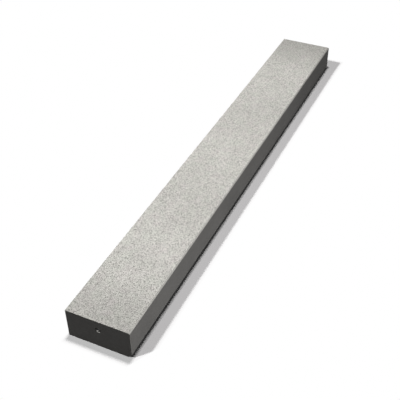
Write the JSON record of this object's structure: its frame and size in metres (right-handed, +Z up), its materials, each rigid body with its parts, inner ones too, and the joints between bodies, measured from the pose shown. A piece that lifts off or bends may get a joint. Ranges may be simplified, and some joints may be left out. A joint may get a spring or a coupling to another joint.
{
  "type": "concrete step block",
  "caption": "Long precast concrete step with a textured tread, bevelled front edges and a threaded lifting socket cast into each end.",
  "frame": {"origin": "middle of the underside", "axes": "+X along the step to its right end as seen from the front, -Y to the front (the riser), +Z up"},
  "size_m": [3, 0.35, 0.175],
  "materials": {
    "concrete": "matt concrete, textured tread and smooth formed sides",
    "galvanised_steel": "dull galvanised"
  },
  "bodies": {
    "root": {"step_block": "concrete", "lifting_socket_left": "galvanised_steel", "lifting_socket_right": "galvanised_steel"}
  },
  "joints": []
}
